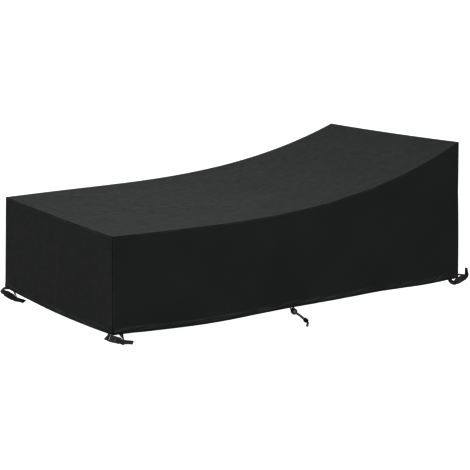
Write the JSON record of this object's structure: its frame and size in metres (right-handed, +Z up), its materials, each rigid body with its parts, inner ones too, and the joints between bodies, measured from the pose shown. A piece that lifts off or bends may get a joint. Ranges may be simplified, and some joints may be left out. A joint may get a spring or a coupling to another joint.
{
  "type": "lounge chair cover",
  "caption": "Fitted outdoor lounge chair cover with a raised head end, buckled corner straps and a hem drawcord with a sprung cord lock.",
  "frame": {"origin": "underside of the top panel at the middle of the cover's length and width", "axes": "+X from the foot end to the raised head end, +Y to the far long side, +Z up"},
  "size_m": [2.2422, 1.3453, 0.8522],
  "materials": {
    "cover_cloth": "coated plain weave, dark charcoal, matt",
    "strap_webbing": "ribbed webbing, black",
    "black_plastic": "moulded, satin black",
    "drawcord": "braided cord, black"
  },
  "bodies": {
    "cover": {"top_panel": "cover_cloth", "near_panel": "cover_cloth", "far_panel": "cover_cloth", "foot_panel": "cover_cloth", "head_panel": "cover_cloth", "strap_fixed_foot_near": "strap_webbing", "strap_loose_foot_near": "strap_webbing", "buckle_female_foot_near": "black_plastic", "buckle_male_foot_near": "black_plastic", "strap_fixed_foot_far": "strap_webbing", "strap_loose_foot_far": "strap_webbing", "buckle_female_foot_far": "black_plastic", "buckle_male_foot_far": "black_plastic", "strap_fixed_head_near": "strap_webbing", "strap_loose_head_near": "strap_webbing", "buckle_female_head_near": "black_plastic", "buckle_male_head_near": "black_plastic", "strap_fixed_head_far": "strap_webbing", "strap_loose_head_far": "strap_webbing", "buckle_female_head_far": "black_plastic", "buckle_male_head_far": "black_plastic", "drawcord_lower": "drawcord", "drawcord_upper": "drawcord", "drawcord_knot": "drawcord", "drawcord_tail_lower": "drawcord", "drawcord_tail_upper": "drawcord", "cord_lock_body": "black_plastic"},
    "lock_button": {"cord_lock_plunger": "black_plastic"}
  },
  "joints": [
    {"name": "cord_lock_press", "type": "slide", "parent": "cover", "child": "lock_button", "axis": [0.2588, 0.9659, 0], "range_m": [0, 0.004], "stiffness_N_per_m": 500, "springref_m": -0.003}
  ]
}
